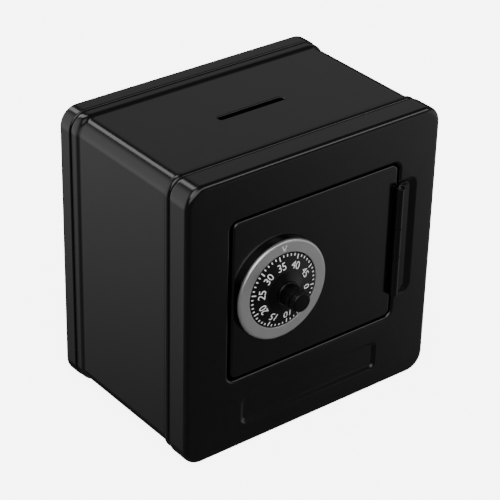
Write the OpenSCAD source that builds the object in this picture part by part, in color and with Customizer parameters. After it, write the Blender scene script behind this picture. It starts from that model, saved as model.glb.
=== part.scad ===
/* [Body] */
// Width over the pans
body_w = 125; // [110:1:150]
// Height over the pans
body_h = 124.5; // [110:0.5:150]
// Depth from the front face to the back face
body_d = 85; // [75:1:110]
// Thickness of the sheet steel
sheet_t = 0.7; // [0.5:0.05:0.9]
// Corner radius of the pans' outline
corner_r = 8.2; // [6:0.1:12]
// Rounding between a pan's face and its skirt
edge_r = 2.25; // [1.5:0.05:3]
// Depth of the front pan's skirt
front_skirt = 11.6; // [9:0.1:14]
// Depth of the rear pan's skirt
rear_skirt = 8; // [6:0.1:12]
// How far the sleeve's flats lie below the skirts
sleeve_step = 1.2; // [0.8:0.05:1.6]
// Length of a pan's neck inside the sleeve
neck_l = 7; // [5:0.5:12]

/* [Sleeve ends] */
// Gap between a skirt's edge and the sleeve's bead
seam_gap = 0.7; // [0.4:0.05:1]
// Width of the flat land on a bead
bead_w = 1.7; // [1:0.1:2.5]
// How far a bead's land lies below the skirts
bead_step = 0.35; // [0.2:0.05:0.6]
// Length of the slope behind the front bead
front_flare = 1.4; // [1:0.1:3]
// Length of the slope before the rear bead
rear_flare = 3.4; // [1.5:0.1:5]
// Width of the lap seam under the body
lap_w = 8; // [5:0.5:12]

/* [Coin slot] */
// Length of the coin slot
slot_l = 32; // [26:0.5:40]
// Width of the coin slot
slot_w = 2.8; // [2.2:0.1:3.4]
// Rounding of the coin slot's corners
slot_r = 0.8; // [0.4:0.1:1.1]

/* [Door opening] */
// Width of the pan's face beside the opening
side_rail = 20.4; // [17:0.2:26]
// Height of the pan's face above the opening
top_rail = 19.7; // [14:0.1:26]
// Height of the pan's face below the opening
bottom_rail = 33; // [31:0.5:40]
// Corner radius of the opening
opening_r = 3.5; // [3:0.1:5]
// Rounding where the pan turns into the opening
jamb_r = 1.2; // [1:0.05:1.6]
// Depth of the turned edge round the opening
jamb_d = 2.9; // [2:0.1:3.2]

/* [Lower panel] */
// Width of the pressed panel under the door
panel_w = 70.8; // [50:0.2:76]
// Height of the pressed panel
panel_h = 13.7; // [10:0.1:15]
// Height of the panel's middle above the base
panel_z = 16.85; // [14:0.05:19]
// Depth of the pressed panel
panel_d = 1; // [0.6:0.05:1.4]
// Width of the slope round a pressed area
press_slope = 2.4; // [1.5:0.1:2.8]
// Corner radius of a pressed area
press_r = 3.2; // [3:0.1:4]

/* [Door] */
// Gap at the door's free edge
free_gap = 1.3; // [1:0.1:2]
// Gap at the door's hinge edge
hinge_gap = 0.9; // [0.8:0.05:1.2]
// Gap above the door
top_gap = 0.7; // [0.5:0.05:1.2]
// Gap below the door
bottom_gap = 1; // [0.5:0.05:1.5]
// Rounding of the door's front edge
door_edge_r = 1; // [0.9:0.05:1.4]
// Corner radius of the door
door_r = 3; // [2.5:0.1:4]
// Depth of the door's turned-back flanges
flange_d = 7; // [5:0.1:9]

/* [Hinge] */
// Radius of the hinge pin
pin_r = 1.2; // [1:0.05:1.5]
// Distance of the pin's centre in front of the face
pin_front = 1.6; // [1.5:0.05:1.8]
// Distance of the pin's centre inside the opening's edge
pin_inset = 0.8; // [0.6:0.05:1]
// Thickness of the hinge leaves
leaf_t = 0.7; // [0.6:0.05:0.8]
// How far the barrel's ends stop short of the opening's corners
barrel_short = 11.15; // [8:0.05:14]
// Height of the door's knuckle
door_knuckle_h = 12.4; // [10:0.1:16]
// Height of the barrel's middle above the opening's middle
barrel_up = 0.35; // [-3:0.05:3]
// Reach of the frame leaf from the pin
frame_leaf_w = 6.7; // [5:0.1:8]
// Reach of the door leaf from the pin
door_leaf_w = 17; // [10:0.5:24]
// How far the leaves stop short of the barrel's ends
leaf_short = 0.8; // [0.4:0.1:2]
// Depth of the pressed seat for the frame leaf
seat_d = 0.9; // [0.8:0.05:1.1]
// Reach of the pressed seat from the pin
seat_w = 10.7; // [9.5:0.1:12]
// How far the seat runs past the barrel's ends
seat_over = 2.4; // [2.4:0.1:3.2]

/* [Dial] */
// Outer radius of the bright ring
ring_r = 21.5; // [18:0.1:26]
// Width of the bright ring's face
ring_w = 5.2; // [4:0.1:6]
// Distance of the ring from the door's free edge
ring_in = 0.8; // [0.4:0.1:4]
// Thickness of the bright ring
ring_t = 1.25; // [1:0.05:1.6]
// Chamfer of the ring's outer edge
ring_chamfer = 0.35; // [0.2:0.05:0.5]
// Height of the drum under the ring
drum_h = 2.05; // [1.9:0.05:4]
// Thickness of the drum's floor
drum_floor = 0.7; // [0.6:0.05:0.9]
// Thickness of the numbered disc at its rim
disc_t = 1; // [0.8:0.1:1.2]
// How far the disc's rim lies below the ring's face
disc_sunk = 0.25; // [0.15:0.05:0.4]
// Rise of the disc's face from its rim to the knob's foot
disc_rise = 1.6; // [0:0.1:2.4]
// Radius of the knob's conical foot
knob_foot_r = 8.6; // [7:0.1:10]
// Radius of the knob's grip over its ribs
knob_r = 4.5; // [3.5:0.1:5.5]
// Height of the knob's foot
knob_foot_h = 1.3; // [0.8:0.1:3]
// Reach of the knob's tip in front of the face
knob_reach = 15; // [12:0.5:20]
// Number of ribs on the knob
knob_ribs = 24; // [16:1:30]

/* [Lock] */
// Radius of the spindle
spindle_r = 1.6; // [1.3:0.05:2]
// Outer radius of the bush's tube
tube_r = 3.2; // [2.8:0.1:3.6]
// Thickness of a combination wheel
wheel_t = 1; // [0.8:0.05:1.2]
// Free space between two wheels
wheel_space = 1; // [0.8:0.05:1.4]
// Width of a wheel's gate
gate_w = 8; // [7:0.1:10]
// Distance of a drive tab from the wheel's middle
tab_r = 9; // [8:0.1:10]
// Width of the catch's tongue
catch_w = 6; // [4:0.1:6.4]
// Thickness of the catch
catch_t = 1.2; // [1:0.1:1.4]
// How far the catch reaches past the wheels' rims
catch_overlap = 3.1; // [2:0.1:3.2]
// Radius of a screw's shank
screw_r = 0.9; // [0.7:0.05:1]

/* [Hidden] */
$fn = 64;

// Radial clearance of a turning fit, and the gap where fixed pieces meet
run_fit = 0.05;
fixed_fit = 0.02;
seat_fit = 0.05;
// Least gap between pieces that move past each other
clear = 0.3;
// Overlap that makes a cut go right through
cut = 1;

// The face plane is placed so that the origin lies under the middle of the
// whole bank, its knob included.
face_y = -(body_d - knob_reach) / 2;

// Distances outside the pans' outline, negative inward
sleeve_off = -sleeve_step;
neck_off = sleeve_off - sheet_t - seat_fit;

// Depths behind the face of the sleeve's two ends
sleeve_front = front_skirt + seam_gap;
sleeve_rear = body_d - rear_skirt - seam_gap;

// The opening, and the door that fills it
opening_w = body_w - 2 * side_rail;
opening_h = body_h - top_rail - bottom_rail;
opening_mid = bottom_rail + opening_h / 2;
door_w = opening_w - free_gap - hinge_gap;
door_h = opening_h - top_gap - bottom_gap;
door_x = (free_gap - hinge_gap) / 2;
door_mid = opening_mid + (bottom_gap - top_gap) / 2;
door_left = door_x - door_w / 2;

// Hinge axis and barrel
pin_x = opening_w / 2 - pin_inset;
barrel_r = pin_r + run_fit + leaf_t;
barrel_h = opening_h - 2 * barrel_short;
barrel_mid = opening_mid + barrel_up;
notch_reach = barrel_r + 0.6;
notch_x = pin_x - sqrt(pow(notch_reach - clear, 2) - pow(pin_front, 2));

// The dial's middle and radii
dial_x = door_left + ring_in + ring_r;
dial_mid = door_mid;
ring_in_r = ring_r - ring_w;
drum_r = ring_r - 0.2;
disc_r = ring_in_r - clear;

// Dial and wheel stack, as depths behind the face
ring_face = -drum_h - ring_t;
rim_face = ring_face + disc_sunk;
disc_back = rim_face + disc_t;
foot_face = rim_face - disc_rise;
foot_seat = foot_face + 0.5;
catch_front = jamb_d + 0.5;
catch_back = catch_front + catch_t;
first_d = catch_back + 2 * clear;
second_d = first_d + wheel_t + wheel_space;
drive_d = second_d + wheel_t + wheel_space;
tube_end = second_d + wheel_t + 0.2;
clip_t = 0.6;
spindle_end = drive_d + wheel_t + clip_t + 0.7;
cover_back = spindle_end + 0.7;

// The wheels fill the cover, and the cover's screws stand round it in the
// drum's solid rim
screw_circle = drum_r - 1.4;
screw_head_r = 1.7;
cover_out_r = screw_circle - screw_head_r - 0.2;
cover_in_r = cover_out_r - sheet_t;
wheel_r = cover_in_r - 0.5;
gate_r = wheel_r - catch_overlap - 1.5;
cover_slot_w = catch_w + 3;
catch_tip = dial_x - wheel_r + catch_overlap;
tab_w = 1.5;
tab_l = 3;
tab_out = 0.7;
first_pair = 40;
second_pair = -60;
boss_r = 5;
bush_flange_r = 6;
bush_flange_t = 0.8;
screw_angles = [30, 150, 270];
screw_head_t = 1;
screw_in = drum_h - 0.5;

black = [0.05, 0.05, 0.055];
ink_black = [0.03, 0.03, 0.03];
steel = [0.72, 0.72, 0.73];
zinc = [0.62, 0.63, 0.65];
brass = [0.76, 0.62, 0.32];

// Everything is drawn as it is seen from the front, x to the right and y up,
// with z as the depth behind the face; this stands it up in its place.
module in_place() {
    translate([0, face_y, 0]) mirror([0, 1, 0]) rotate([90, 0, 0]) children();
}

// A flat rounded rectangle about its middle
module rounded(w, h, r) {
    square([w - 2 * r, h], center = true);
    square([w, h - 2 * r], center = true);
    for (sx = [-1, 1], sy = [-1, 1])
        translate([sx * (w / 2 - r), sy * (h / 2 - r)]) circle(r);
}

// Carries one wall section round a rounded rectangle. The section's x is the
// distance outside the outline and its y is the depth.
module wrap(w, h, r) {
    for (turn = [0:3]) {
        across = turn % 2 == 0 ? w : h;
        along = turn % 2 == 0 ? h : w;
        rotate([0, 0, 90 * turn]) {
            translate([across / 2, along / 2 - r, 0])
                rotate([90, 0, 0]) linear_extrude(along - 2 * r) children();
            translate([across / 2 - r, along / 2 - r, 0])
                rotate_extrude(angle = 90) translate([r, 0]) children();
        }
    }
}

// The section of a bend from a face into a wall: r is the outer radius
module bend_section(r) {
    translate([-r, r]) intersection() {
        difference() {
            circle(r);
            circle(r - sheet_t);
        }
        translate([0, -r]) square([r, r]);
    }
}

// A pressed area: a rounded rectangle that shrinks as it goes deeper
module pressed(w, h, d) {
    r = press_r;
    s = press_slope;
    rotate([90, 0, 90]) linear_extrude(w - 2 * r, center = true)
        polygon([[-h / 2, 0], [h / 2, 0], [h / 2 - s, d], [s - h / 2, d]]);
    rotate([90, 0, 0]) linear_extrude(h - 2 * r, center = true)
        polygon([[-w / 2, 0], [w / 2, 0], [w / 2 - s, d], [s - w / 2, d]]);
    for (sx = [-1, 1], sy = [-1, 1])
        translate([sx * (w / 2 - r), sy * (h / 2 - r), 0])
            cylinder(h = d, r1 = r, r2 = r - s);
    translate([0, 0, -cut]) linear_extrude(cut) rounded(w, h, r);
}

// Skirt and neck of a pan, from its face back into the sleeve
module pan_section(skirt) {
    bend_section(edge_r);
    translate([-sheet_t, edge_r]) square([sheet_t, skirt - edge_r]);
    translate([neck_off - sheet_t, skirt - sheet_t])
        square([sheet_t - neck_off, sheet_t]);
    translate([neck_off - sheet_t, skirt - sheet_t])
        square([sheet_t, sheet_t + seam_gap + bead_w + front_flare + neck_l]);
}

module pan_rim(skirt) {
    translate([0, body_h / 2, 0]) wrap(body_w, body_h, corner_r) pan_section(skirt);
}

module pan_face() {
    translate([0, body_h / 2, 0]) linear_extrude(sheet_t)
        rounded(body_w - 2 * edge_r, body_h - 2 * edge_r, corner_r - edge_r);
}

// Four-sided wrapper with a bead at each end, a lap seam below and the slot
module body_sleeve() {
    in_place() color(black) difference() {
        union() {
            translate([0, body_h / 2, 0]) wrap(body_w, body_h, corner_r) sleeve_section();
            translate([-lap_w / 2, sleeve_step + sheet_t - cut / 2, sleeve_front + lap_inset])
                cube([lap_w, cut / 2 + sheet_t, sleeve_rear - sleeve_front - 2 * lap_inset]);
        }
        translate([0, body_h - sleeve_step, body_d / 2]) rotate([90, 0, 0])
            linear_extrude(4 * sheet_t, center = true) rounded(slot_l, slot_w, slot_r);
    }
}

// The lap seam starts behind the pans' necks
lap_inset = bead_w + rear_flare + neck_l + 2;

module sleeve_section() {
    land = -bead_step;
    flat = sleeve_off;
    f0 = sleeve_front + bead_w;
    f1 = f0 + front_flare;
    r0 = sleeve_rear - bead_w;
    r1 = r0 - rear_flare;
    polygon([[land, sleeve_front], [land, f0], [flat, f1], [flat, r1], [land, r0],
             [land, sleeve_rear], [land - sheet_t, sleeve_rear], [land - sheet_t, r0],
             [flat - sheet_t, r1], [flat - sheet_t, f1], [land - sheet_t, f0],
             [land - sheet_t, sleeve_front]]);
}

// Pressed seat for the frame leaf, from inside the opening out to the right
module leaf_seat() {
    w = 2 * seat_w;
    h = barrel_h + 2 * seat_over;
    translate([pin_x + seat_w - w / 2, barrel_mid, 0]) pressed(w, h, seat_d);
}

module lower_panel() {
    translate([0, panel_z, 0]) pressed(panel_w, panel_h, panel_d);
}

module opening_cut(grow) {
    translate([0, opening_mid, -cut]) linear_extrude(4 * cut)
        rounded(opening_w + 2 * grow, opening_h + 2 * grow, opening_r + grow);
}

// Front pan with the door opening, its turned edge and two pressed areas
module front_pan() {
    in_place() color(black) difference() {
        union() {
            pan_rim(front_skirt);
            difference() {
                union() {
                    pan_face();
                    translate([0, 0, sheet_t]) lower_panel();
                }
                opening_cut(jamb_r);
            }
            difference() {
                intersection() {
                    translate([0, 0, sheet_t]) leaf_seat();
                    translate([0, 0, cut / 2]) linear_extrude(4) square([body_w, 2 * body_h], center = true);
                }
                opening_cut(0);
            }
            translate([0, opening_mid, 0]) wrap(opening_w, opening_h, opening_r)
                jamb_section();
        }
        lower_panel();
        leaf_seat();
    }
}

module jamb_section() {
    mirror([1, 0]) bend_section(jamb_r);
    translate([0, jamb_r]) square([sheet_t, jamb_d - jamb_r]);
}

module rear_pan() {
    in_place() color(black) translate([0, 0, body_d]) mirror([0, 0, 1]) {
        pan_rim(rear_skirt);
        pan_face();
    }
}

// Bracket welded behind the pan, whose tongue lies between the door's skin
// and the wheels
module catch_bracket() {
    foot_l = 10;
    foot_w = 16;
    step_x = -opening_w / 2 - 4;
    in_place() color(zinc) translate([0, dial_mid, 0]) {
        translate([step_x - foot_l, -foot_w / 2, sheet_t]) cube([foot_l, foot_w, catch_t]);
        translate([step_x - catch_t, -catch_w / 2, sheet_t])
            cube([catch_t, catch_w, catch_back - sheet_t]);
        translate([step_x - catch_t, -catch_w / 2, catch_front])
            cube([catch_tip - step_x + catch_t, catch_w, catch_t]);
    }
}

// A length of barrel about the pin, from one height to another, with the web
// that joins it to its leaf
module knuckle(low, high) {
    translate([pin_x, high, -pin_front]) rotate([90, 0, 0]) difference() {
        union() {
            cylinder(h = high - low, r = barrel_r);
            linear_extrude(high - low) children();
        }
        translate([0, 0, -cut]) cylinder(h = high - low + 2 * cut, r = pin_r + run_fit);
    }
}

barrel_low = barrel_mid - barrel_h / 2;
barrel_high = barrel_mid + barrel_h / 2;
joint_low = barrel_mid - door_knuckle_h / 2;
joint_high = barrel_mid + door_knuckle_h / 2;

// Leaf in the pan's pressed seat, with the barrel's two end knuckles
module frame_leaf() {
    front = seat_d - leaf_t;
    free_x = pin_x + barrel_r;
    in_place() color(black) {
        for (span = [[barrel_low, joint_low - clear], [joint_high + clear, barrel_high]])
            knuckle(span[0], span[1]) polygon([[0, pin_r - 0.2], [pin_r + 0.4, pin_r - 0.2],
                [barrel_r + 0.3, pin_front + front], [barrel_r + 0.3, pin_front + seat_d],
                [pin_inset + 0.1, pin_front + seat_d], [0, barrel_r]]);
        translate([free_x, barrel_low + leaf_short, front])
            cube([frame_leaf_w - barrel_r, barrel_h - 2 * leaf_short, leaf_t]);
    }
}

// Pin, a little shorter than the barrel at each end
module hinge_pin() {
    sunk = 0.8;
    in_place() color(steel) translate([pin_x, barrel_high - sunk, -pin_front])
        rotate([90, 0, 0]) cylinder(h = barrel_h - 2 * sunk, r = pin_r);
}

// Door skin with its flanges, the notch for the barrel and the catch, and
// the holes for the bush and the cover's screws
module door_panel() {
    notch_over = 0.4;
    in_place() color(black) difference() {
        translate([door_x, door_mid, 0]) {
            linear_extrude(sheet_t) rounded(door_w - 2 * door_edge_r,
                door_h - 2 * door_edge_r, door_r - door_edge_r);
            wrap(door_w, door_h, door_r) {
                union() {
                    bend_section(door_edge_r);
                    translate([-sheet_t, door_edge_r])
                        square([sheet_t, flange_d - door_edge_r]);
                }
            }
        }
        translate([notch_x, barrel_low - notch_over, -cut])
            cube([body_w, barrel_h + 2 * notch_over, flange_d + 2 * cut]);
        translate([door_left - cut, dial_mid - catch_w / 2 - 1.2, catch_front - 2 * clear])
            cube([2 * cut, catch_w + 2.4, flange_d]);
        translate([dial_x, dial_mid, -cut]) {
            cylinder(h = 3 * cut, r = tube_r + run_fit);
            at_screws() cylinder(h = 3 * cut, r = screw_r + run_fit);
        }
    }
}

// Leaf behind the door's skin, with the barrel's middle knuckle
module door_leaf() {
    web_l = -notch_reach / 2;
    web_r = -0.25;
    back = pin_front + sheet_t + leaf_t;
    in_place() color(black) {
        knuckle(joint_low, joint_high) {
            translate([web_l, pin_r]) square([web_r - web_l, back - pin_r]);
            translate([-door_leaf_w, back - leaf_t]) square([door_leaf_w + web_r, leaf_t]);
        }
        translate([pin_x - door_leaf_w, barrel_low + leaf_short, sheet_t])
            cube([door_leaf_w - barrel_r, barrel_h - 2 * leaf_short, leaf_t]);
    }
}

module at_screws() {
    for (a = screw_angles)
        rotate([0, 0, a]) translate([screw_circle, 0, 0]) children();
}

module at_dial() {
    in_place() translate([dial_x, dial_mid, 0]) children();
}

// A flat washer between two depths
module washer(inner, outer, front, back) {
    translate([0, 0, front]) difference() {
        cylinder(h = back - front, r = outer);
        translate([0, 0, -cut]) cylinder(h = back - front + 2 * cut, r = inner);
    }
}

// Shallow cup that carries the ring and holds the disc
module dial_drum() {
    at_dial() color(ink_black) difference() {
        translate([0, 0, -drum_h]) cylinder(h = drum_h, r = drum_r);
        translate([0, 0, -drum_h - cut])
            cylinder(h = drum_h - drum_floor + cut, r = ring_in_r + 0.5);
        translate([0, 0, -cut]) cylinder(h = 2 * cut, r = tube_r + fixed_fit);
        translate([0, 0, -screw_in - 0.1]) at_screws()
            cylinder(h = screw_in + cut, r = screw_r + fixed_fit);
    }
}

// Flat bright ring with a bevelled rim and an index notch at the top
module bezel_ring() {
    mark_w = 2.2;
    mark_h = 2.6;
    mark_d = 0.3;
    at_dial() color(steel) difference() {
        rotate_extrude() polygon([[ring_in_r, ring_face], [ring_r - ring_chamfer, ring_face],
            [ring_r, ring_face + ring_chamfer], [ring_r, -drum_h], [ring_in_r, -drum_h]]);
        translate([0, ring_in_r, ring_face - cut]) linear_extrude(cut + mark_d)
            polygon([[0, 0.6], [mark_w / 2, 0.6 + mark_h], [-mark_w / 2, 0.6 + mark_h]]);
    }
}

// Flanged bush that the spindle turns in and the loose wheels turn on
module dial_bush() {
    step_d = first_d - 0.2;
    at_dial() color(brass) difference() {
        union() {
            translate([0, 0, -drum_floor - clear])
                cylinder(h = tube_end + drum_floor + clear, r = tube_r);
            translate([0, 0, sheet_t]) cylinder(h = bush_flange_t, r = bush_flange_r);
            translate([0, 0, sheet_t]) cylinder(h = step_d - sheet_t, r = boss_r);
        }
        translate([0, 0, -5]) cylinder(h = tube_end + 10, r = spindle_r + run_fit);
    }
}

module wheel_spacer() {
    at_dial() color(brass)
        washer(tube_r + fixed_fit, boss_r, first_d + wheel_t + 0.2, second_d - 0.2);
}

module friction_washer() {
    at_dial() color([0.35, 0.2, 0.12])
        washer(boss_r - 0.5, boss_r + 3, disc_back + 0.1, -drum_floor);
}

// Cup over the wheels, slotted at the side and back for the catch
module lock_cover() {
    rim_r = drum_r + 0.5;
    slot_end = gate_r - 0.6;
    at_dial() color(zinc) difference() {
        union() {
            washer(cover_in_r, rim_r, sheet_t, 2 * sheet_t);
            washer(cover_in_r, cover_out_r, sheet_t, cover_back + sheet_t);
            translate([0, 0, cover_back]) cylinder(h = sheet_t, r = cover_out_r);
        }
        translate([-2 * rim_r + door_left + sheet_t + clear - dial_x, -rim_r, 0])
            cube([2 * rim_r, 2 * rim_r, 4 * sheet_t]);
        translate([-rim_r, -cover_slot_w / 2, catch_front - 2 * clear])
            cube([rim_r - slot_end, cover_slot_w, cover_back]);
        translate([0, 0, -cut]) at_screws() cylinder(h = 4 * cut, r = screw_r + run_fit);
    }
}

module cover_screws() {
    at_dial() color(steel) at_screws() {
        translate([0, 0, -screw_in]) cylinder(h = screw_in + 2 * sheet_t, r = screw_r);
        translate([0, 0, 2 * sheet_t]) difference() {
            cylinder(h = screw_head_t, r = screw_head_r);
            translate([-2 * screw_head_r, -0.25, screw_head_t - 0.5])
                cube([4 * screw_head_r, 0.5, 1]);
        }
    }
}

// Shallow cone with a flat back and a seat for the knob
module dial_disc() {
    bore = spindle_r + fixed_fit;
    at_dial() color(ink_black) rotate_extrude() polygon([[bore, foot_seat],
        [knob_foot_r, foot_seat], [knob_foot_r, foot_face], [disc_r, rim_face],
        [disc_r, disc_back], [bore, disc_back]]);
}

// Conical foot and ribbed grip
module dial_knob() {
    tip = -knob_reach;
    core_r = knob_r - 0.4;
    foot_r = knob_foot_r - fixed_fit;
    neck = foot_face - knob_foot_h;
    rib_front = tip + 0.8;
    rib_back = neck - 0.8;
    at_dial() color(ink_black) difference() {
        union() {
            rotate_extrude() polygon([[0, foot_seat], [foot_r, foot_seat],
                [foot_r, foot_face], [knob_r + 0.3, neck], [core_r, neck - 0.5],
                [core_r, tip + 0.6], [core_r - 0.6, tip], [0, tip]]);
            for (i = [0:knob_ribs - 1])
                rotate([0, 0, 360 * i / knob_ribs]) translate([core_r - 0.5, -0.3, rib_front])
                    cube([knob_r - core_r + 0.5, 0.6, rib_back - rib_front]);
        }
        translate([0, 0, tip + 3]) cylinder(h = knob_reach, r = spindle_r + fixed_fit);
    }
}

module dial_spindle() {
    at_dial() color(steel) translate([0, 0, 3.1 - knob_reach])
        cylinder(h = spindle_end + knob_reach - 3.1, r = spindle_r);
}

// A disc with a gate at the catch's side
module gated_wheel(front, bore) {
    translate([0, 0, front]) difference() {
        cylinder(h = wheel_t, r = wheel_r);
        translate([0, 0, -cut]) cylinder(h = wheel_t + 2 * cut, r = bore);
        translate([-2 * wheel_r, -gate_w / 2, -cut])
            cube([2 * wheel_r - gate_r, gate_w, wheel_t + 2 * cut]);
    }
}

// The two tabs of a pair stand side by side in the space between two wheels:
// the front wheel's points back and the back wheel's points forward
module back_tab(front, turn) {
    rotate([0, 0, turn]) translate([tab_r - tab_l / 2, 0, front + wheel_t / 2])
        cube([tab_l, tab_w, wheel_t / 2 + tab_out]);
}

module front_tab(front, turn) {
    rotate([0, 0, turn]) translate([tab_r - tab_l / 2, tab_w + clear, front - tab_out])
        cube([tab_l, tab_w, wheel_t / 2 + tab_out]);
}

module first_wheel() {
    at_dial() color(zinc) {
        gated_wheel(first_d, tube_r + run_fit);
        back_tab(first_d, first_pair);
    }
}

module second_wheel() {
    at_dial() color(zinc) {
        gated_wheel(second_d, tube_r + run_fit);
        front_tab(second_d, first_pair);
        back_tab(second_d, second_pair);
    }
}

module drive_wheel() {
    at_dial() color(zinc) {
        gated_wheel(drive_d, spindle_r + fixed_fit);
        front_tab(drive_d, second_pair);
        washer(spindle_r + fixed_fit, boss_r - 1, drive_d - wheel_space / 2,
            drive_d + wheel_t / 2);
    }
}

// Push-on clip behind the drive wheel
module spindle_clip() {
    at_dial() color(steel) difference() {
        washer(spindle_r + fixed_fit, boss_r - 1, drive_d + wheel_t, drive_d + wheel_t + clip_t);
        for (a = [0, 120, 240])
            rotate([0, 0, a]) translate([0, -0.4, drive_d + wheel_t - cut])
                cube([spindle_r + 1.2, 0.8, clip_t + 2 * cut]);
    }
}

body_sleeve();
front_pan();
rear_pan();
catch_bracket();
frame_leaf();
hinge_pin();
door_panel();
door_leaf();
dial_drum();
bezel_ring();
dial_bush();
wheel_spacer();
friction_washer();
lock_cover();
cover_screws();
dial_disc();
dial_knob();
dial_spindle();
drive_wheel();
spindle_clip();
first_wheel();
second_wheel();
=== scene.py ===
import bmesh
import bpy
from math import cos, pi, radians, sin
from mathutils import Matrix, Vector


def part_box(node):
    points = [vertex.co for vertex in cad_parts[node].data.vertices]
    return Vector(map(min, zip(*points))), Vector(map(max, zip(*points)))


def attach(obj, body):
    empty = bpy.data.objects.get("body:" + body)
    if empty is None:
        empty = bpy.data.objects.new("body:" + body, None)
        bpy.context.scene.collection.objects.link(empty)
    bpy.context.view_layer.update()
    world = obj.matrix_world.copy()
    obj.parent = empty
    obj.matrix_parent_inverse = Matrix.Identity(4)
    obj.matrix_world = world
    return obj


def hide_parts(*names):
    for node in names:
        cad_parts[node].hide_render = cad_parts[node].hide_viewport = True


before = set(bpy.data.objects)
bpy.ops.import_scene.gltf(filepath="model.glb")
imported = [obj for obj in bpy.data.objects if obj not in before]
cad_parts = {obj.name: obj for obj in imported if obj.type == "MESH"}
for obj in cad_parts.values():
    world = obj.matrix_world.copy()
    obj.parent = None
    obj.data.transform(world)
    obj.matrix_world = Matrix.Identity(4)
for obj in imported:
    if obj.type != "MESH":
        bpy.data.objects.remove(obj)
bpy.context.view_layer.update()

# Everything below is in millimetres behind the face plane, right of the
# middle and above the base, and place() turns it into the frame's metres.
MM = 0.001
PAN_LOW, PAN_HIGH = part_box("front_pan")
FACE = PAN_LOW.y
RING_LOW, RING_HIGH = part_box("bezel_ring")
PIN_LOW, PIN_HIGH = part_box("hinge_pin")
DOOR_LOW, DOOR_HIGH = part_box("door_panel")
RIGHT, UP, BACK = Vector((1, 0, 0)), Vector((0, 0, 1)), Vector((0, 1, 0))

# Body
BODY_W = (PAN_HIGH.x - PAN_LOW.x) / MM
BODY_H = (PAN_HIGH.z - PAN_LOW.z) / MM
BODY_D = (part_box("rear_pan")[1].y - FACE) / MM
MIDDLE = BODY_H / 2
CORNER_R = 8.2
EDGE_R = 2.25
SHEET = 0.7
FRONT_SKIRT = 11.6
REAR_SKIRT = 8
SLEEVE_STEP = 1.2
BEAD_STEP = 0.35
NECK_STEP = 1.95
# Gaps between the skirts and the sleeve: the rear one is all but closed
SEAM = 0.7
REAR_GAP = 0.05
NECK_REACH = 10.1
HEM_R = 0.3
# Rolls at the skirts' and the sleeve's ends: reach along the depth, drop
FRONT_LIP, REAR_LIP = (1.6, 0.9), (0.7, 0.7)
SLEEVE_FRONT_ROLL, SLEEVE_REAR_ROLL = (-1.7, 0.9), (1.9, 0.35)
# Where each bead starts and ends its fall to the flats, from the sleeve's end
FRONT_FALL, REAR_FALL = (1.9, 3.3), (3.0, 6.2)
# Coin slot and its turned-in lip
SLOT_L, SLOT_W, SLOT_R = 32, 2.8, 0.8
LIP_R, LIP_T, LIP_D = 0.55, 0.45, 2.2
# Lap seam under the sleeve
LAP_W, LAP_INSET, LAP_PROUD, LAP_SUNK = 8, 15.5, 0.25, 0.4
# Opening, door and lower panel
OPEN_W, OPEN_H, OPEN_MID, OPEN_R = 84.2, 71.8, 68.9, 3.5
JAMB_R, JAMB_D = 1.2, 2.9
DOOR_X = (DOOR_LOW.x + DOOR_HIGH.x) / 2 / MM
DOOR_MID = (DOOR_LOW.z + DOOR_HIGH.z) / 2 / MM
DOOR_W, DOOR_H, DOOR_R, DOOR_EDGE = 82.0, 70.1, 3, 1
FLANGE = 7
CATCH_SLOT_D, CATCH_SLOT_H = 2.8, 8.4
PANEL_W, PANEL_H, PANEL_R, PANEL_MID = 70.8, 13.7, 3.2, 16.85
PANEL_D, PANEL_FLANK = 1.0, 2.0
# Hinge
PIN_X = (PIN_LOW.x + PIN_HIGH.x) / 2 / MM
PIN_D = ((PIN_LOW.y + PIN_HIGH.y) / 2 - FACE) / MM
PIN_R = (PIN_HIGH.x - PIN_LOW.x) / 2 / MM
BARREL_R = 1.95
BARREL_LOW, BARREL_HIGH = PIN_LOW.z / MM - 0.8, PIN_HIGH.z / MM + 0.8
BARREL_MID = (BARREL_LOW + BARREL_HIGH) / 2
KNUCKLE = 12.4
KNUCKLE_GAP = 0.3
BORE_FIT = 0.05
NOTCH_OVER = 0.4
SEAT_X, SEAT_D, SEAT_OVER = 52.0, 0.9, 2.4
SEAT_R, SEAT_FLANK, SEAT_SIDE = 4.2, 2.4, 1.4
LEAF_END, LEAF_CORNER = 6.7, 1.2
DOOR_LEAF_L = 17
# Dial
DIAL_X = (RING_LOW.x + RING_HIGH.x) / 2 / MM
DIAL_Z = (RING_LOW.z + RING_HIGH.z) / 2 / MM
RING_R = (RING_HIGH.x - RING_LOW.x) / 2 / MM
RING_IN = RING_R - 5.2
RING_FACE = (RING_LOW.y - FACE) / MM
RING_BACK = (RING_HIGH.y - FACE) / MM
DISC_R, DISC_RIM, DISC_FOOT, FOOT_R = RING_IN - 0.3, RING_FACE + 0.25, RING_FACE - 1.35, 8.6
KNOB_TIP = (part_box("dial_knob")[0].y - FACE) / MM
KNOB_R = 4.5
RIBS, RIB_R = 24, 0.3
SPINDLE_HOLE = 1.62
# Marks on the disc: width, lengths and the radii that they stand at
DIVISIONS, NUMBERED = 50, 5
DASH_W, SHORT_DASH, LONG_DASH = 0.48, 1.0, 2.0
SHORT_R, LONG_R, NUMBER_R = 15.1, 14.6, 11.2
NUMBER_SIZE, PRINT_T = 4.55, 0.03
# The number nearest the index, and its turn clockwise from the top in degrees
TOP_NUMBER, TOP_TURN = 35, -8.4
# Studio: how white the floor and the room are to the camera, and the camera
WHITE = 6.0
VIEW_AZ, VIEW_EL, VIEW_TILT = -38.649, 30.583, 1.465
AIM_D, AIM_Z, AIM_RIGHT, AIM_DROP = 42.308, 62.23, 0.769, 3.05
VIEW_FAR, LENS, FILM = 811.99, 143.43, 36


def place(x, depth, z):
    return Vector((x * MM, FACE + depth * MM, z * MM))


# ---------------------------------------------------------------- making


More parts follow.
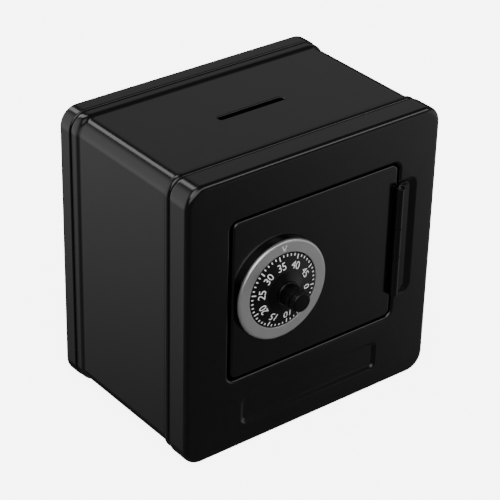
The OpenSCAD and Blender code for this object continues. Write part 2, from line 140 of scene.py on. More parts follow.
def rest():
    """Object mode with nothing selected."""
    if bpy.context.object and bpy.context.object.mode != "OBJECT":
        bpy.ops.object.mode_set(mode="OBJECT")
    bpy.ops.object.select_all(action="DESELECT")


def select(*objects):
    rest()
    for o in objects:
        o.select_set(True)
    bpy.context.view_layer.objects.active = objects[0]


def edit(o):
    select(o)
    bpy.ops.object.mode_set(mode="EDIT")


def pick(test, mode="EDGE"):
    """Selects the edit mesh's points, edges or faces that pass a test."""
    bpy.ops.mesh.select_mode(type=mode)
    bpy.ops.mesh.select_all(action="DESELECT")
    mesh = bpy.context.edit_object.data
    b = bmesh.from_edit_mesh(mesh)
    for item in {"VERT": b.verts, "EDGE": b.edges, "FACE": b.faces}[mode]:
        if test(item):
            item.select_set(True)
    b.select_flush_mode()
    bmesh.update_edit_mesh(mesh)


def depth_of(v):
    return (v.co.y - FACE) / MM


def new_point(name):
    """A new piece in edit mode, with one point at the frame's origin."""
    rest()
    bpy.ops.mesh.primitive_plane_add(size=MM, location=(0, 0, 0))
    o = bpy.context.object
    o.name = o.data.name = name
    bpy.ops.object.mode_set(mode="EDIT")
    bpy.ops.mesh.select_mode(type="VERT")
    bpy.ops.mesh.select_all(action="SELECT")
    bpy.ops.mesh.merge(type="CENTER")
    return o


def draw(points):
    """Draws a line through the points, from the one point selected."""
    here = Vector()
    for i, p in enumerate(points):
        if i:
            bpy.ops.mesh.extrude_region_move(TRANSFORM_OT_translate={"value": p - here})
        else:
            bpy.ops.transform.translate(value=p)
        here = p
    bpy.ops.mesh.select_all(action="SELECT")


def run(step):
    bpy.ops.mesh.extrude_region_move(TRANSFORM_OT_translate={"value": step})


def weld(outward=True):
    bpy.ops.mesh.select_all(action="SELECT")
    bpy.ops.mesh.remove_doubles(threshold=2e-6)
    if outward:
        bpy.ops.mesh.normals_make_consistent(inside=False)


def wrap(name, section, w, h, r, centre, axes=(RIGHT, UP, BACK), steps=10):
    """Carries a section of (distance outside the outline, depth) round a
    rounded rectangle: straight runs and quarter spins."""
    across, up, back = axes
    o = new_point(name)
    draw([centre + across * (w / 2 + out) * MM + up * (r - h / 2) * MM + back * d * MM
          for out, d in section])
    for turn, way in enumerate((up, -across, -up, across)):
        run(way * ((h, w)[turn % 2] - 2 * r) * MM)
        sx, sz = ((1, 1), (-1, 1), (-1, -1), (1, -1))[turn]
        bpy.ops.mesh.spin(steps=steps, angle=pi / 2, axis=back, center=centre
                          + across * sx * (w / 2 - r) * MM + up * sz * (h / 2 - r) * MM)
    weld()
    return o


def arc(x, y, r, start, end, n):
    """Points on an arc from one angle to another, in degrees."""
    return [(x + r * cos(radians(start + (end - start) * i / n)),
             y + r * sin(radians(start + (end - start) * i / n))) for i in range(n + 1)]


def ess(x0, y0, x1, y1, n):
    """Points on a smooth step from one level to another."""
    return [(x0 + (x1 - x0) * i / n, y0 + (y1 - y0) * (1 - cos(pi * i / n)) / 2)
            for i in range(n + 1)]


def roll(top, end, reach, drop, n=8):
    """A lip that rolls down towards its end, as points (outside, depth)."""
    return [(top - drop * (1 - cos(a)), end - reach * (1 - sin(a)))
            for a in (pi / 2 * i / n for i in range(n + 1))]


def modifier(o, kind, **values):
    """Adds one modifier and applies it."""
    select(o)
    m = o.modifiers.new(kind.title(), kind)
    for k, v in values.items():
        setattr(m, k, v)
    bpy.ops.object.modifier_apply(modifier=m.name)


def thicken(o, t=SHEET):
    modifier(o, "SOLIDIFY", thickness=t * MM, offset=-1, use_even_offset=True)


def block(x0, x1, d0, d1, z0, z1):
    """A cutter, or the start of a piece, between two corners."""
    rest()
    bpy.ops.mesh.primitive_cube_add(size=1, location=(place(x0, d0, z0) + place(x1, d1, z1)) / 2)
    bpy.ops.transform.resize(value=((x1 - x0) * MM, (d1 - d0) * MM, (z1 - z0) * MM))
    bpy.ops.object.transform_apply(location=True, rotation=True, scale=True)
    return bpy.context.object


def cut(o, cutter):
    modifier(o, "BOOLEAN", operation="DIFFERENCE", object=cutter, solver="EXACT")
    bpy.data.objects.remove(cutter)


def soften(o, width, segments=2, angle=35):
    """Small rounding along the sharp edges."""
    modifier(o, "BEVEL", width=width * MM, segments=segments, limit_method="ANGLE",
             angle_limit=radians(angle), use_clamp_overlap=True)


def join(name, pieces):
    select(*pieces)
    if len(pieces) > 1:
        bpy.ops.object.join()
    o = bpy.context.object
    o.name = o.data.name = name
    return o


def settle(o, body, finish, replaced=(), angle=40, weighted=True):
    """Shades a finished piece, gives it its material and its body."""
    select(o)
    bpy.ops.object.shade_smooth_by_angle(angle=radians(angle))
    if weighted:
        modifier(o, "WEIGHTED_NORMAL", keep_sharp=True, weight=80)
    o.data.materials.clear()
    o.data.materials.append(finish)
    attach(o, body)
    if replaced:
        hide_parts(*replaced)


# ------------------------------------------------------------- materials


def group(name, inputs, outputs):
    """An empty shader group with its sockets and its two ends."""
    g = bpy.data.node_groups.new(name, "ShaderNodeTree")
    for label, kind, value in inputs:
        s = g.interface.new_socket(name=label, in_out="INPUT", socket_type="NodeSocket" + kind)
        if value is not None:
            s.default_value = value
    for label, kind in outputs:
        g.interface.new_socket(name=label, in_out="OUTPUT", socket_type="NodeSocket" + kind)
    return g, g.nodes.new("NodeGroupInput"), g.nodes.new("NodeGroupOutput")


def node(tree, kind, inputs=(), **values):
    n = tree.nodes.new("ShaderNode" + kind)
    for k, v in values.items():
        setattr(n, k, v)
    for k, v in dict(inputs).items():
        if isinstance(v, bpy.types.NodeSocket):
            tree.links.new(v, n.inputs[k])
        else:
            n.inputs[k].default_value = v
    return n


def spread(tree, value, low, high, from_low=0.0, from_high=1.0):
    """Maps a 0 to 1 value to a range."""
    return node(tree, "MapRange", {"Value": value, "From Min": from_low, "From Max": from_high,
                                   "To Min": low, "To Max": high}).outputs["Result"]


def make_surface_group():
    """Grain, cloudiness and dust: what every painted or moulded face has."""
    g, start, end = group("Surface life", [("Vector", "Vector", None), ("Grain per m", "Float", 900.0),
                          ("Cloud per m", "Float", 30.0), ("Dust", "Float", 0.5)],
                          [("Grain", "Float"), ("Cloud", "Float"), ("Dust", "Float")])
    v = start.outputs["Vector"]
    grain = node(g, "TexNoise", {"Vector": v, "Scale": start.outputs["Grain per m"], "Detail": 3.0,
                                 "Roughness": 0.55})
    cloud = node(g, "TexNoise", {"Vector": v, "Scale": start.outputs["Cloud per m"], "Detail": 4.0,
                                 "Roughness": 0.6})
    cells = node(g, "TexVoronoi", {"Vector": v, "Scale": 420.0, "Randomness": 1.0})
    near = spread(g, cells.outputs["Distance"], 1.0, 0.0, 0.05, 0.11)
    rare = spread(g, cells.outputs["Color"], 0.0, 1.0, 0.93, 0.95)
    speck = node(g, "Math", {0: near, 1: rare}, operation="MULTIPLY")
    dust = node(g, "Math", {0: speck.outputs[0], 1: start.outputs["Dust"]}, operation="MULTIPLY")
    g.links.new(grain.outputs["Fac"], end.inputs["Grain"])
    g.links.new(cloud.outputs["Fac"], end.inputs["Cloud"])
    g.links.new(dust.outputs[0], end.inputs["Dust"])
    return g


def make_turned_group():
    """Fine rings about the dial's middle, as a lathe or a brush leaves."""
    g, start, end = group("Turned lines", [("Vector", "Vector", None), ("Lines per m", "Float", 2500.0)],
                          [("Lines", "Float")])
    split = node(g, "SeparateXYZ", {"Vector": start.outputs["Vector"]})
    flat = node(g, "CombineXYZ", {"X": split.outputs["X"], "Y": 0.0, "Z": split.outputs["Z"]})
    radius = node(g, "VectorMath", {0: flat.outputs[0]}, operation="LENGTH")
    angle = node(g, "Math", {0: split.outputs["Z"], 1: split.outputs["X"]}, operation="ARCTAN2")
    slow = node(g, "Math", {0: angle.outputs[0], 1: 0.002}, operation="MULTIPLY")
    both = node(g, "CombineXYZ", {"X": radius.outputs["Value"], "Y": slow.outputs[0], "Z": 0.0})
    lines = node(g, "TexNoise", {"Vector": both.outputs[0], "Scale": start.outputs["Lines per m"],
                                 "Detail": 4.0, "Roughness": 0.7})
    g.links.new(lines.outputs["Fac"], end.inputs["Lines"])
    return g


SURFACE = make_surface_group()
TURNED = make_turned_group()


def place_group(tree, g, vector, **values):
    n = tree.nodes.new("ShaderNodeGroup")
    n.node_tree = g
    tree.links.new(vector, n.inputs["Vector"])
    for k, v in values.items():
        n.inputs[k.replace("_", " ")].default_value = v
    return n


def material(name, dark, light, rough, bump=0.0, grain=900.0, cloud=30.0, dust=0.0, dust_colour=0.3,
             lines=0.0, centre=None, metallic=0.0, stretch=(1, 1, 1), **shader):
    """A finish whose colour, roughness and relief vary over the surface."""
    m = bpy.data.materials.new(name)
    m.use_nodes = True
    t = m.node_tree
    p = t.nodes["Principled BSDF"]
    where = node(t, "TexCoord").outputs["Object"]
    at = node(t, "Mapping", {"Vector": where, "Location": [-c for c in centre or (0, 0, 0)],
                             "Scale": stretch})
    life = place_group(t, SURFACE, at.outputs[0], Grain_per_m=grain, Cloud_per_m=cloud, Dust=dust)
    tone = node(t, "MixRGB", {"Fac": life.outputs["Cloud"], "Color1": (*dark, 1), "Color2": (*light, 1)})
    colour = node(t, "MixRGB", {"Fac": life.outputs["Dust"], "Color1": tone.outputs[0],
                                "Color2": (dust_colour, dust_colour, dust_colour, 1)})
    t.links.new(colour.outputs[0], p.inputs["Base Color"])
    height = life.outputs["Grain"]
    if lines:
        rings = place_group(t, TURNED, at.outputs[0], Lines_per_m=lines)
        height = node(t, "MixRGB", {"Fac": 0.7, "Color1": life.outputs["Grain"],
                                    "Color2": rings.outputs["Lines"]}).outputs[0]
    mixed = node(t, "Math", {0: life.outputs["Cloud"], 1: height}, operation="ADD")
    t.links.new(spread(t, mixed.outputs[0], rough[0], rough[1], 0.6, 1.4), p.inputs["Roughness"])
    if bump:
        b = node(t, "Bump", {"Height": height, "Strength": 1.0, "Distance": bump * MM})
        t.links.new(b.outputs[0], p.inputs["Normal"])
    p.inputs["Metallic"].default_value = metallic
    for k, v in shader.items():
        p.inputs[k.replace("_", " ")].default_value = v
    return m


def grey(v):
    return (v, v, v)


DIAL_MIDDLE = place(DIAL_X, 0, DIAL_Z)
ENAMEL = material("black enamel", grey(0.0012), grey(0.0018), (0.13, 0.19), bump=0.0006, grain=500, cloud=22,
                  dust=0.25)
PLASTIC = material("black moulded plastic", grey(0.0022), grey(0.0032), (0.32, 0.40), bump=0.004, grain=3500,
                   Specular_IOR_Level=0.3)
DRUM = material("gloss black plastic", grey(0.0015), grey(0.002), (0.14, 0.2), bump=0.001, grain=1800)
SATIN = material("satin ring", grey(0.52), grey(0.58), (0.30, 0.38), bump=0.003, grain=3000, lines=3000,
                 centre=DIAL_MIDDLE, metallic=0.9)
PRINT = material("white print", grey(0.80), grey(0.86), (0.45, 0.55), bump=0.002, grain=2500)
KNOB = material("black knob plastic", grey(0.0012), grey(0.0018), (0.20, 0.27), bump=0.003, grain=3500,
                Specular_IOR_Level=0.25)
# Lighter grey for the index strokes: a painted highlight, standing in for the light that the engraved V
# catches.
MARK_HIGHLIGHT = material("index mark painted highlight", grey(0.55), grey(0.62), (0.4, 0.5), bump=0.002, grain=2500)
STEEL = material("plain steel", grey(0.50), grey(0.60), (0.25, 0.40), bump=0.004, grain=1500, metallic=1.0,
                 stretch=(1, 1, 0.15))
ZINC = material("zinc plate", (0.52, 0.53, 0.55), (0.66, 0.67, 0.68), (0.26, 0.42), bump=0.005, grain=900,
                cloud=160, metallic=1.0)
TURNED_ZINC = material("turned zinc", (0.52, 0.53, 0.55), (0.64, 0.65, 0.66), (0.24, 0.4), bump=0.006,
                       grain=1200, lines=1800, centre=DIAL_MIDDLE, metallic=1.0)
BRASS = material("turned brass", (0.60, 0.42, 0.16), (0.70, 0.52, 0.24), (0.2, 0.34), bump=0.005,
                 grain=1500, lines=2200, centre=DIAL_MIDDLE, metallic=1.0)
FIBRE = material("red-brown fibre", (0.10, 0.035, 0.018), (0.17, 0.07, 0.035), (0.6, 0.8), bump=0.02,
                 grain=2600)


# ----------------------------------------------------------------- body


def body_wrap(name, section, **more):
    return wrap(name, section, BODY_W, BODY_H, CORNER_R, place(0, 0, MIDDLE), **more)


def make_sleeve():
    """Wrapper with a soft bead at each end and a turned-in slot on top."""
    front, rear = FRONT_SKIRT + SEAM, BODY_D - REAR_SKIRT - REAR_GAP
    land, flat = -BEAD_STEP, -SLEEVE_STEP
    falls = (ess(front + FRONT_FALL[0], land, front + FRONT_FALL[1], flat, 8)
             + ess(rear - REAR_FALL[1], flat, rear - REAR_FALL[0], land, 10))
    outer = (roll(land, front, *SLEEVE_FRONT_ROLL)[::-1] + [(out, d) for d, out in falls]
             + roll(land, rear, *SLEEVE_REAR_ROLL) + [(land - SHEET, rear)])
    inner = [(out - SHEET, d) for d, out in falls[::-1]]
    o = body_wrap("sleeve", outer + inner + outer[:1], steps=14)
    top = BODY_H - SLEEVE_STEP
    slot = place(0, BODY_D / 2, top)
    slot_axes = (RIGHT, BACK, -UP)
    lip = (arc(LIP_R, LIP_R, LIP_R, -90, -180, 5)
           + [(0, LIP_D), (LIP_T, LIP_D), (LIP_T, LIP_R + 0.05)])
    above, below, wider = -2, 3, LIP_R - 0.05
    cutter = wrap("slot cutter", [(wider, above), (wider, below)], SLOT_L, SLOT_W, SLOT_R, slot,
                  slot_axes, steps=6)
    for far in (above, below):
        pick(lambda e: e.is_boundary and all(abs((top - far) * MM - v.co.z) < 1e-6 for v in e.verts))
        bpy.ops.mesh.edge_face_add()
    weld()
    cut(o, cutter)
    edge = wrap("slot lip", lip + lip[:1], SLOT_L, SLOT_W, SLOT_R, slot, slot_axes, steps=6)
    lap = block(-LAP_W / 2, LAP_W / 2, FRONT_SKIRT + LAP_INSET, BODY_D - REAR_SKIRT - LAP_INSET,
                SLEEVE_STEP - LAP_PROUD, SLEEVE_STEP + LAP_SUNK)
    soften(lap, 0.22, 3)
    settle(join("sleeve", [o, edge, lap]), "body", ENAMEL, ["body_sleeve"])


def pan_section(skirt, reach, drop):
    """Rounded edge, skirt, rolled lip and the neck inside the sleeve."""
    neck_end = skirt + SEAM + NECK_REACH
    return (arc(-EDGE_R, EDGE_R, EDGE_R, -90, 0, 8) + roll(0, skirt, reach, drop)
            + arc(-NECK_STEP + HEM_R, skirt + HEM_R, HEM_R, -90, -180, 3)
            + [(-NECK_STEP, neck_end)])


def on_face(e):
    return e.is_boundary and all(abs(depth_of(v)) < 1e-3 for v in e.verts)


def make_front_pan():
    """Pan drawn from one sheet: rolled rim, rolled opening, a pressed panel
    under the door and a pressed seat for the hinge leaf."""
    rim = body_wrap("rim", pan_section(FRONT_SKIRT, *FRONT_LIP), steps=14)
    jamb_roll = [(JAMB_R - JAMB_R * sin(radians(a)), JAMB_R - JAMB_R * cos(radians(a)))
                 for a in range(0, 91, 15)]
    jamb = wrap("jamb", jamb_roll + [(0, JAMB_D)], OPEN_W, OPEN_H, OPEN_R,
                place(0, 0, OPEN_MID))
    low, high = BARREL_LOW - SEAT_OVER, BARREL_HIGH + SEAT_OVER
    for z in (low, high):
        pick(lambda f: f.calc_center_median().x > (OPEN_W / 2 - 0.01) * MM, "FACE")
        bpy.ops.mesh.bisect(plane_co=place(0, 0, z), plane_no=UP)
    pick(lambda f: f.calc_center_median().x > (OPEN_W / 2 - 0.01) * MM
         and low < f.calc_center_median().z / MM < high, "FACE")
    bpy.ops.mesh.delete(type="FACE")
    bpy.ops.mesh.select_mode(type="VERT")

    left, r, n = OPEN_W / 2 + JAMB_R, SEAT_R, 10
    flank = ess(0, 0, -SEAT_FLANK, SEAT_D, n)
    seat = new_point("seat")
    draw([place(left, d, low - out) for out, d in flank])
    run(RIGHT * (SEAT_X - r - left) * MM)
    bpy.ops.mesh.spin(steps=8, angle=pi / 2, axis=BACK, center=place(SEAT_X - r, 0, low + r))
    run(UP * (high - low - 2 * r) * MM)
    bpy.ops.mesh.spin(steps=8, angle=pi / 2, axis=BACK, center=place(SEAT_X - r, 0, high - r))
    run(-RIGHT * (SEAT_X - r - left) * MM)
    weld(False)
    for i, (out, d) in enumerate(flank):
        pick(lambda v: abs(depth_of(v) - d) < 1e-3, "VERT")
        width = SEAT_X - left + out
        bpy.ops.transform.resize(value=(1 - SEAT_SIDE * i / n / width, 1, 1),
                                 center_override=place(left, 0, OPEN_MID))
    pick(lambda v: abs(depth_of(v) - SEAT_D) < 1e-3 and abs(v.co.x - left * MM) < 1e-6, "VERT")
    bpy.ops.mesh.edge_face_add()
    pick(lambda e: all(abs(depth_of(v) - SEAT_D) < 1e-3 for v in e.verts))
    bpy.ops.mesh.edge_face_add()
    pick(lambda e: e.is_boundary and all(abs(v.co.x - left * MM) < 1e-6 for v in e.verts))
    for (x0, d0), (x1, d1) in zip(jamb_roll, jamb_roll[1:]):
        run(RIGHT * (x1 - x0) * MM + BACK * (d1 - d0) * MM)
    run(RIGHT * 0)
    bpy.ops.transform.resize(value=(1, 0, 1), center_override=place(0, JAMB_D, 0))

    panel = wrap("panel", ess(0, 0, -PANEL_FLANK, PANEL_D, 10), PANEL_W, PANEL_H, PANEL_R,
                 place(0, 0, PANEL_MID), steps=8)
    pick(lambda e: e.is_boundary and all(abs(depth_of(v) - PANEL_D) < 1e-3 for v in e.verts))
    bpy.ops.mesh.edge_face_add()
    o = join("front_shell", [rim, jamb, seat, panel])
    edit(o)
    weld(False)
    pick(on_face)
    bpy.ops.mesh.fill(use_beauty=True)
    weld()
    thicken(o)
    settle(o, "body", ENAMEL, ["front_pan"])


def make_rear_pan():
    """Plain pan with the same rolled rim, its face at the back."""
    section = [(out, BODY_D - d) for out, d in pan_section(REAR_SKIRT, *REAR_LIP)]
    o = body_wrap("rear_shell", section, steps=14)
    pick(lambda e: e.is_boundary and all(abs(depth_of(v) - BODY_D) < 1e-3 for v in e.verts))
    bpy.ops.mesh.edge_face_add()
    weld()
    thicken(o)
    settle(o, "body", ENAMEL, ["rear_pan"])


# ------------------------------------------------------- door and hinge


def make_door():
    """Flat door with a rolled edge and deep flanges, notched for the barrel
    and slotted for the catch."""
    section = arc(-DOOR_EDGE, DOOR_EDGE, DOOR_EDGE, -90, 0, 6) + [(0, FLANGE)]
    o = wrap("door_shell", section, DOOR_W, DOOR_H, DOOR_R, place(DOOR_X, 0, DOOR_MID), steps=8)
    pick(on_face)
    bpy.ops.mesh.edge_face_add()
    weld()
    thicken(o)
    reach = BARREL_R + KNUCKLE_GAP
    notch = PIN_X - (reach ** 2 - PIN_D ** 2) ** 0.5
    past = 2
    cut(o, block(notch, notch + 9, -past, FLANGE + past, BARREL_LOW - NOTCH_OVER,
                 BARREL_HIGH + NOTCH_OVER))
    free = DOOR_LOW.x / MM
    cut(o, block(free - 1, free + 1, CATCH_SLOT_D, FLANGE + past, DIAL_Z - CATCH_SLOT_H / 2,
                 DIAL_Z + CATCH_SLOT_H / 2))
    settle(o, "door", ENAMEL, ["door_panel"])


def rolled(name, section, spans):
    """A closed (x, depth) section carried up each span of the barrel."""
    parts = []
    for low, high in spans:
        o = new_point(name)
        draw([place(PIN_X + x, PIN_D + d, low) for x, d in section + section[:1]])
        bpy.ops.mesh.remove_doubles(threshold=2e-6)
        run(UP * (high - low) * MM)
        for end in (low, high):
            pick(lambda e: e.is_boundary and all(abs(v.co.z - end * MM) < 1e-7 for v in e.verts))
            bpy.ops.mesh.edge_face_add()
        weld()
        soften(o, 0.12, 2, 60)
        parts.append(o)
    return parts


def make_frame_leaf():
    """Leaf in the pan's seat, its edge rolled into the two end knuckles."""
    bore = PIN_R + BORE_FIT
    front, back = SEAT_D - SHEET - PIN_D, SEAT_D - PIN_D
    section = ([(2.75, back), (1.3, back)] + ess(1.2, back - 0.01, 0, BARREL_R, 4)[1:4]
               + arc(0, 0, BARREL_R, 90, 405, 42) + arc(0, 0, bore, 405, 90, 36)
               + [(1.5, front), (2.75, front)])
    low, high = BARREL_MID - KNUCKLE / 2 - KNUCKLE_GAP, BARREL_MID + KNUCKLE / 2 + KNUCKLE_GAP
    parts = rolled("frame_knuckle", section, [(BARREL_LOW, low), (high, BARREL_HIGH)])
    leaf = block(PIN_X + 2.4, PIN_X + LEAF_END, SEAT_D - SHEET + 0.01, SEAT_D, BARREL_LOW + 0.8,
                 BARREL_HIGH - 0.8)
    edit(leaf)
    pick(lambda e: abs(e.verts[0].co.y - e.verts[1].co.y) > 0.3 * MM
         and e.verts[0].co.x > (PIN_X + 5) * MM)
    bpy.ops.mesh.bevel(offset=LEAF_CORNER * MM, segments=5)
    soften(leaf, 0.12, 2)
    settle(join("hinge_frame_leaf", parts + [leaf]), "body", ENAMEL, ["frame_leaf"])


def make_door_leaf():
    """Leaf behind the door's skin, with the middle knuckle."""
    bore = PIN_R + BORE_FIT
    back = 2 * SHEET - PIN_D
    end = 0.1 - DOOR_LEAF_L
    section = ([(-0.25, back), (end, back), (end, back - SHEET), (-1.3, back - SHEET)]
               + arc(0, 0, BARREL_R, 130, 440, 42) + arc(0, 0, bore, 440, 130, 36)[:-1]
               + [(-0.8, 1.25), (-0.25, 1.6)])
    mid = rolled("door_knuckle", section, [(BARREL_MID - KNUCKLE / 2, BARREL_MID + KNUCKLE / 2)])
    leaf = block(PIN_X - DOOR_LEAF_L, PIN_X - BARREL_R, SHEET + 0.01, 2 * SHEET - 0.01, BARREL_LOW + 0.8,
                 BARREL_HIGH - 0.8)
    soften(leaf, 0.12, 2)
    settle(join("hinge_door_leaf", mid + [leaf]), "door", ENAMEL, ["door_leaf"])


# ----------------------------------------------------------------- dial


def dial_turned(name, section, steps=96):
    """Spins a closed section of (radius, depth) about the dial's axis."""
    o = new_point(name)
    points = [place(DIAL_X + radius, d, DIAL_Z) for radius, d in section]
    draw(points + points[:1])
    bpy.ops.mesh.spin(steps=steps, angle=2 * pi, axis=BACK, center=place(DIAL_X, 0, DIAL_Z))
    weld()
    return o


def make_drum():
    """Shallow cup under the ring, its floor against the door's skin."""
    r = RING_R - 0.2
    section = ([(3.25, 0), (r, 0)] + arc(r - 0.25, RING_BACK + 0.25, 0.25, 0, -90, 4)
               + [(RING_IN + 0.5, RING_BACK), (RING_IN + 0.5, -SHEET), (3.25, -SHEET)])
    settle(dial_turned("dial_cup", section), "door", DRUM, ["dial_drum"])


def make_ring():
    """Flat ring with a rounded rim, and the two strokes of its index V, in a lighter finish that is a
    painted highlight standing in for the light that the engraved V catches.
    """
    section = ([(RING_IN, RING_BACK)] + arc(RING_IN + 0.2, RING_FACE + 0.2, 0.2, 180, 270, 3)
               + arc(RING_R - 0.9, RING_FACE + 0.9, 0.9, -90, 0, 8) + [(RING_R, RING_BACK)])
    ring = dial_turned("ring", section, steps=128)
    settle(ring, "door", SATIN, ["bezel_ring"])
    strokes = []
    foot = DIAL_Z + RING_IN + 0.9
    for side in (-1, 1):
        o = block(DIAL_X - 0.24, DIAL_X + 0.24, RING_FACE - 0.02, RING_FACE + 0.1, foot, foot + 2.7)
        soften(o, 0.05, 2)
        edit(o)
        bpy.ops.mesh.select_all(action="SELECT")
        bpy.ops.transform.rotate(value=radians(-22 * side), orient_axis="Y",
                                 center_override=place(DIAL_X, RING_FACE, foot))
        strokes.append(o)
    settle(join("index_mark", strokes), "door", MARK_HIGHLIGHT)


def make_disc():
    """Shallow dish that carries the numbers."""
    section = [(SPINDLE_HOLE, DISC_FOOT + 0.5), (FOOT_R, DISC_FOOT + 0.5), (FOOT_R, DISC_FOOT)]
    section += [(DISC_R - 0.15, DISC_RIM - 0.01), (DISC_R, DISC_RIM + 0.12), (DISC_R, DISC_RIM + 1),
                (SPINDLE_HOLE, DISC_RIM + 1)]
    settle(dial_turned("number_disc", section), "dial", PLASTIC, ["dial_disc"],
           weighted=False, angle=20)


SLOPE = (DISC_RIM - DISC_FOOT) / (DISC_R - FOOT_R)


def on_disc(radius, turn):
    """Where a mark lies on the disc's cone, its top outward."""
    out = Vector((sin(turn), 0, cos(turn)))
    along = (out + BACK * SLOPE).normalized()
    across = Vector((cos(turn), 0, -sin(turn)))
    face = DISC_FOOT + SLOPE * (radius - FOOT_R)
    m = Matrix((across, along, across.cross(along))).transposed().to_4x4()
    m.translation = place(DIAL_X, face, DIAL_Z) + out * radius * MM
    return m


def put(o, matrix):
    """Moves a flat mark's mesh to its place on the disc."""
    o.matrix_world = matrix
    select(o)
    bpy.ops.object.transform_apply(location=True, rotation=True, scale=True)
    return o


def dash(w, h):
    """A raised printed dash with round ends, flat on the origin."""
    rest()
    bpy.ops.mesh.primitive_plane_add(size=1, location=(0, 0, 0))
    o = bpy.context.object
    bpy.ops.transform.resize(value=(w * MM, h * MM, 1))
    bpy.ops.object.transform_apply(location=True, rotation=True, scale=True)
    edit(o)
    bpy.ops.mesh.select_mode(type="VERT")
    bpy.ops.mesh.select_all(action="SELECT")
    bpy.ops.mesh.bevel(offset=w * MM * 0.45, segments=4, affect="VERTICES")
    bpy.ops.mesh.select_all(action="SELECT")
    run(Vector((0, 0, PRINT_T * MM)))
    weld()
    rest()
    return o


def make_marks():
    """Numbers 0 to 45 and fifty divisions, clockwise."""
    step = 2 * pi / DIVISIONS
    first = radians(TOP_TURN) - TOP_NUMBER * step
    marks = []
    for i in range(DIVISIONS):
        long, radius = (LONG_DASH, LONG_R) if i % NUMBERED == 0 else (SHORT_DASH, SHORT_R)
        marks.append(put(dash(DASH_W, long), on_disc(radius, first + i * step)))
    for number in range(0, DIVISIONS, NUMBERED):
        rest()
        bpy.ops.object.text_add(location=(0, 0, 0))
        t = bpy.context.object
        t.data.body = str(number)
        t.data.size = NUMBER_SIZE * MM
        t.data.align_x, t.data.align_y = "CENTER", "CENTER"
        t.data.space_character = 0.95
        t.data.offset = -0.015 * MM
        t.data.extrude = 0.02 * MM
        t.data.resolution_u = 4
        bpy.ops.object.convert(target="MESH")
        o = bpy.context.object
        xs, ys = [v.co.x for v in o.data.vertices], [v.co.y for v in o.data.vertices]
        edit(o)
        bpy.ops.mesh.select_all(action="SELECT")
        bpy.ops.transform.translate(value=(-(min(xs) + max(xs)) / 2, -(min(ys) + max(ys)) / 2, 0))
        bpy.ops.mesh.remove_doubles(threshold=1e-6)
        rest()
        marks.append(put(o, on_disc(NUMBER_R, first + number * step)))
    settle(join("dial_marks", marks), "dial", PRINT, weighted=False)


def make_knob():
    """Low conical foot, ribbed grip and a bevelled tip with a fine groove."""
    neck = DISC_FOOT - 1.3
    core = KNOB_R - 0.3
    section = ([(0.01, DISC_FOOT + 0.5), (FOOT_R - 0.02, DISC_FOOT + 0.5), (FOOT_R - 0.02, DISC_FOOT - 0.02)]
               + [(KNOB_R + 0.5, neck + 0.1)] + arc(core + 0.6, neck - 0.6, 0.6, 60, 180, 5)
               + [(core, KNOB_TIP + 3.2), (core - 0.25, KNOB_TIP + 3.05), (core - 0.25, KNOB_TIP + 2.8),
                  (core, KNOB_TIP + 2.65)]
               + arc(core - 0.7, KNOB_TIP + 0.7, 0.7, 0, -90, 5) + [(0.01, KNOB_TIP)])
    body = dial_turned("knob", section, steps=72)
    ribs = []
    for i in range(RIBS):
        a = 2 * pi * i / RIBS
        for d0, d1 in ((KNOB_TIP + 0.8, KNOB_TIP + 2.5), (KNOB_TIP + 3.35, neck - 0.9)):
            rest()
            spot = place(DIAL_X, (d0 + d1) / 2, DIAL_Z) + Vector((cos(a), 0, sin(a))) * core * MM
            bpy.ops.mesh.primitive_cylinder_add(vertices=8, radius=RIB_R * MM, depth=(d1 - d0) * MM,
                                                location=spot, rotation=(pi / 2, 0, 0))
            o = bpy.context.object
            bpy.ops.object.transform_apply(location=True, rotation=True, scale=True)
            soften(o, 0.1, 2, 60)
            ribs.append(o)
    settle(join("knob", [body] + ribs), "dial", KNOB, ["dial_knob"], angle=50)


make_sleeve()
make_front_pan()
make_rear_pan()
make_door()
make_frame_leaf()
make_door_leaf()
make_drum()
make_ring()
make_disc()
make_marks()
make_knob()

for name, finish in {"catch_bracket": ZINC, "hinge_pin": STEEL, "dial_bush": BRASS, "wheel_spacer": BRASS,
                     "friction_washer": FIBRE, "lock_cover": ZINC, "cover_screws": STEEL,
                     "dial_spindle": STEEL, "drive_wheel": TURNED_ZINC, "spindle_clip": STEEL,
                     "first_wheel": TURNED_ZINC, "second_wheel": TURNED_ZINC}.items():
    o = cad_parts[name]
    o.data.materials.clear()
    o.data.materials.append(finish)


# ---------------------------------------------------------------- studio


def make_floor():
    """Pale floor, white to the camera and absent from reflections."""
    rest()
    bpy.ops.mesh.primitive_plane_add(size=6, location=(0, 0, 0))
    o = bpy.context.object
    o.name = "studio_floor"
    o.data.materials.append(material("pale floor", grey(0.86), grey(0.90), (0.8, 0.9), grain=60, cloud=4,
                                     Emission_Color=(1, 1, 1, 1)))
    t = o.data.materials[0].node_tree
    seen = node(t, "Math", {0: node(t, "LightPath").outputs["Is Camera Ray"], 1: WHITE},
                operation="MULTIPLY")
    t.links.new(seen.outputs[0], t.nodes["Principled BSDF"].inputs["Emission Strength"])
    o.visible_glossy = False


def soft_light(name, place_at, aim, size, power):
    """A soft box that faces a point."""
    data = bpy.data.lights.new(name, "AREA")
    data.shape = "RECTANGLE"
    data.size, data.size_y = size
    data.energy = power
    o = bpy.data.objects.new(name, data)
    bpy.context.scene.collection.objects.link(o)
    o.location = place_at
    o.rotation_euler = (Vector(aim) - Vector(place_at)).to_track_quat("-Z", "Y").to_euler()
    return o


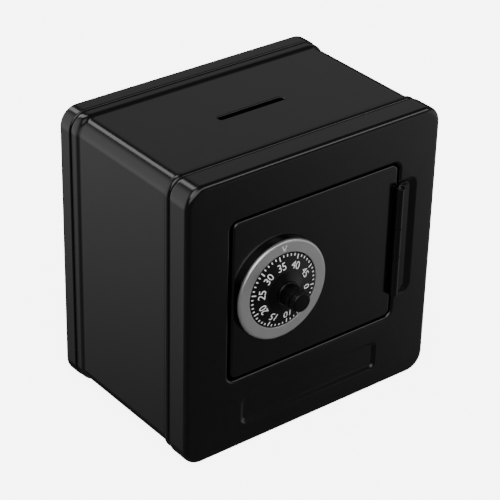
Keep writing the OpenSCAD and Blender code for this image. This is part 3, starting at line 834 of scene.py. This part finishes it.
def make_world(base, glows):
    """A pale room: white to the camera, dim with soft glows in reflections.
    Each glow is (direction, full inside, gone outside, level)."""
    w = bpy.data.worlds.new("studio")
    bpy.context.scene.world = w
    w.use_nodes = True
    t = w.node_tree
    t.nodes.clear()
    out = t.nodes.new("ShaderNodeOutputWorld")
    way = node(t, "TexCoord").outputs["Generated"]
    total = base
    for direction, inside, outside, level in glows:
        near = node(t, "VectorMath", {0: way, 1: Vector(direction).normalized()}, operation="DOT_PRODUCT")
        glow = node(t, "MapRange", {"Value": near.outputs["Value"], "From Min": cos(radians(outside)),
                                    "From Max": cos(radians(inside)), "To Min": 0.0, "To Max": level},
                    interpolation_type="SMOOTHSTEP")
        total = node(t, "Math", {0: total, 1: glow.outputs["Result"]}, operation="ADD").outputs[0]
    soft = node(t, "Background", {"Strength": total, "Color": (1, 1, 1, 1)})
    seen = node(t, "Background", {"Strength": WHITE, "Color": (1, 1, 1, 1)})
    mix = node(t, "MixShader", {0: node(t, "LightPath").outputs["Is Camera Ray"], 1: soft.outputs[0],
                                2: seen.outputs[0]})
    t.links.new(mix.outputs[0], out.inputs["Surface"])


def make_camera():
    """Long lens, from the front left and above."""
    az, el, tilt = radians(VIEW_AZ), radians(VIEW_EL), radians(VIEW_TILT)
    back = Vector((sin(az) * cos(el), -cos(az) * cos(el), sin(el)))
    right = Vector((cos(az), sin(az), 0))
    up = back.cross(right)
    x = right * cos(tilt) + up * sin(tilt)
    y = -right * sin(tilt) + up * cos(tilt)
    data = bpy.data.cameras.new("camera")
    data.lens, data.sensor_width = LENS, FILM
    data.clip_start, data.clip_end = 0.05, 20
    o = bpy.data.objects.new("camera", data)
    bpy.context.scene.collection.objects.link(o)
    aim = place(0, AIM_D, AIM_Z)
    spot = aim + (x * AIM_RIGHT - y * AIM_DROP + back * VIEW_FAR) * MM
    m = Matrix((x, y, back)).transposed().to_4x4()
    m.translation = spot
    o.matrix_world = m
    bpy.context.scene.camera = o


make_floor()
make_world(0.11, [
    ((0.85, -0.50, -0.15), 12, 32, 0.66),    # right of the front
    ((-0.72, 0.68, 0.12), 18, 48, 1.15),     # behind on the left
    ((0.58, 0.62, 0.52), 12, 22, 0.24),      # behind on the right, raised
    ((-0.90, 0.10, -0.40), 0, 45, 0.06),     # low on the left
    ((-0.42, -0.29, 0.84), 8, 32, 2.6),      # overhead, to the front left
    ((-0.10, 0.86, -0.50), 14, 27, -0.07),   # darker, low behind
    ((0.52, 0.85, 0.10), 12, 24, -0.07),     # darker, behind on the right
])
soft_light("strip", (-0.09, 0.84, 1.00), (0, 0, 0.08), (0.30, 1.0), 3.0)
soft_light("brow", (0.65, -0.70, 0.80), (0, 0, 0.08), (0.9, 0.3), 2.4)
soft_light("front", (-0.45, -1.30, 0.80), (0, 0, 0.06), (1.8, 1.3), 15)
make_camera()

rest()
bpy.context.view_layer.update()
